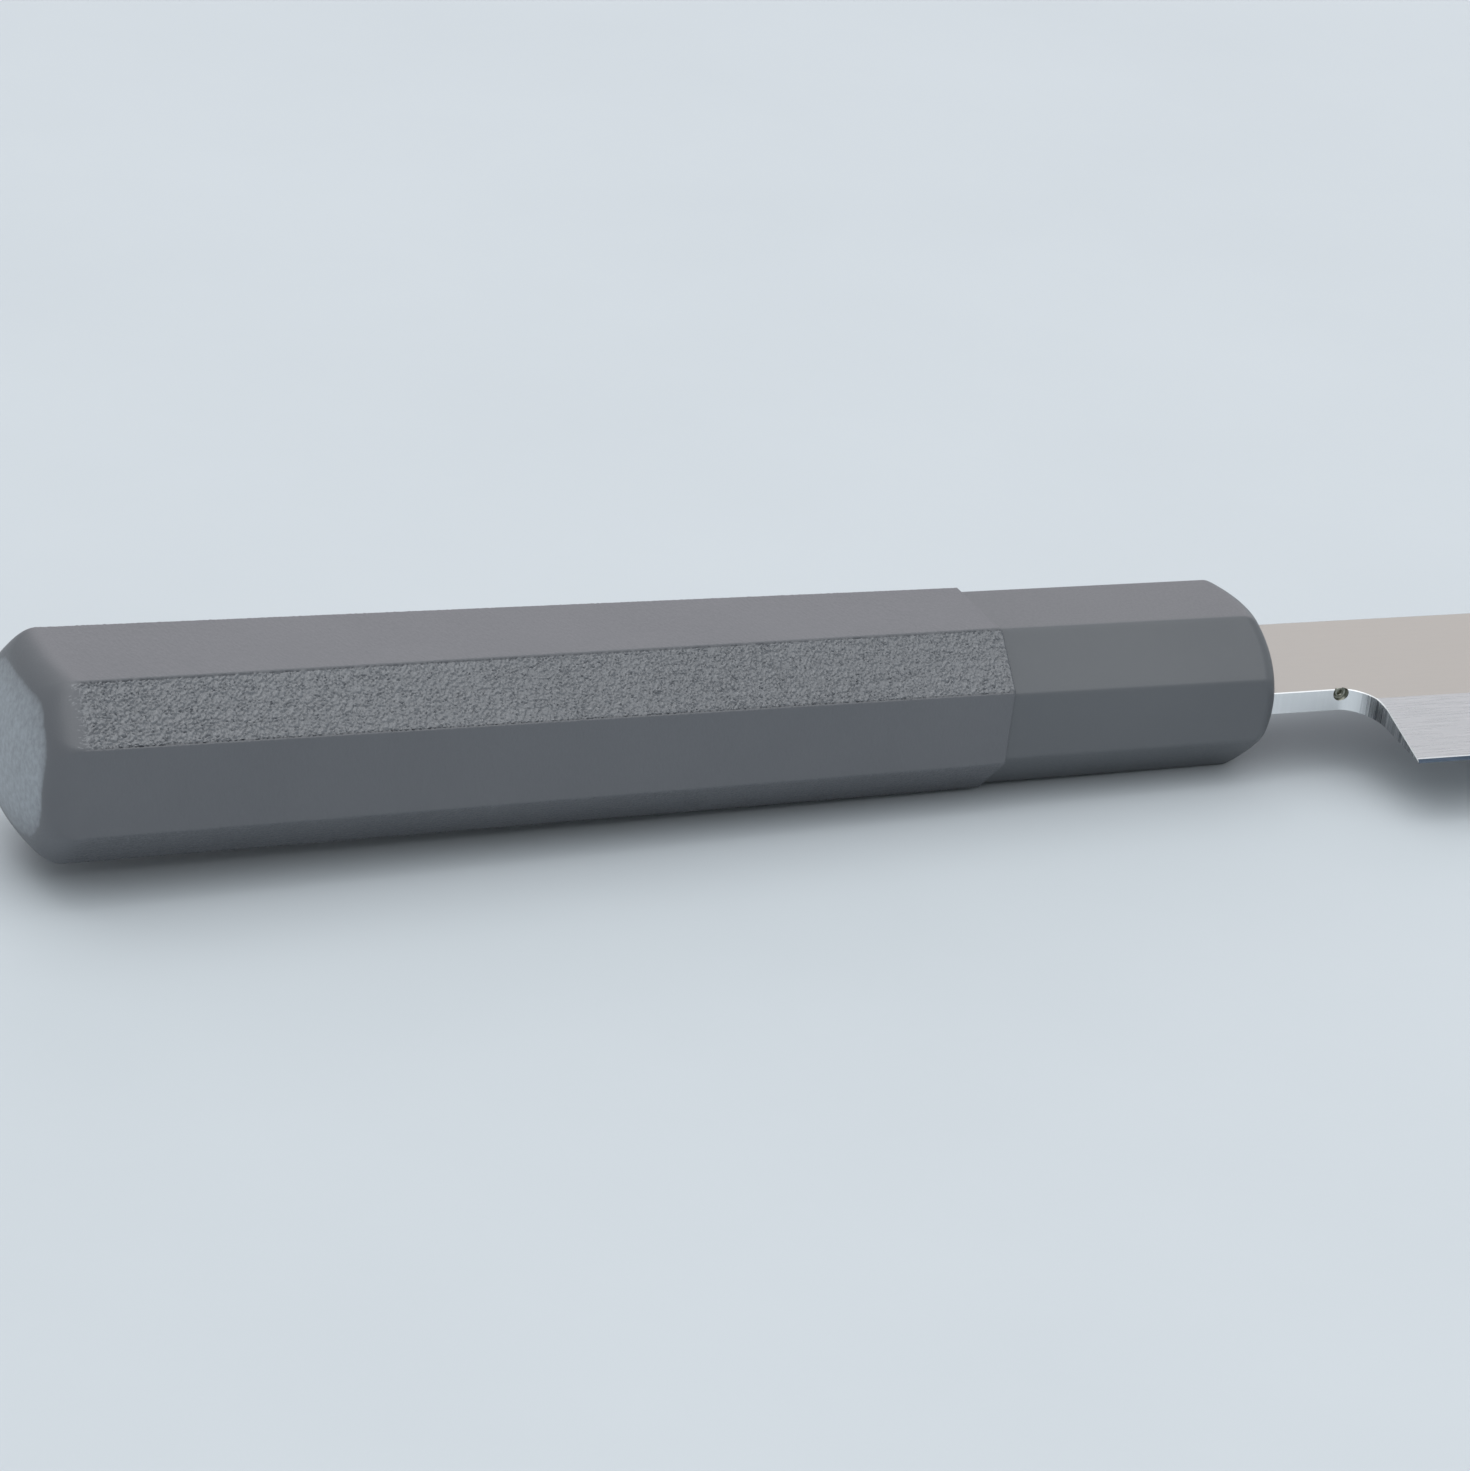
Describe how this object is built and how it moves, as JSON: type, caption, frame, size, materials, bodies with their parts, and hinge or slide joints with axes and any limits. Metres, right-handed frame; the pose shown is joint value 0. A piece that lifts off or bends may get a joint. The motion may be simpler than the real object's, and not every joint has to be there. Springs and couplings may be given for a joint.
{
  "type": "sashimi knife",
  "caption": "Long slim single-bevel kitchen knife for slicing raw fish, with a hollow-ground back and a tapered octagonal resin handle.",
  "frame": {"origin": "bottom centre of the bounding box, with the knife lying on its side, blade face up", "axes": "+X from the butt to the tip, +Y from the cutting edge to the spine, +Z from the blade's hollow back to its bevelled face"},
  "size_m": [0.3514, 0.033, 0.0188],
  "materials": {
    "steel": "satin flat, fine lengthwise brushing on the bevel, polished neck and choil",
    "smooth_resin": "smooth moulded resin, satin",
    "grained_resin": "moulded resin with a fine leather grain, satin",
    "adhesive": "cured epoxy, hidden"
  },
  "bodies": {
    "root": {"blade": "steel", "ferrule": "smooth_resin", "grip": "grained_resin", "tang_bond": "adhesive"}
  },
  "joints": []
}
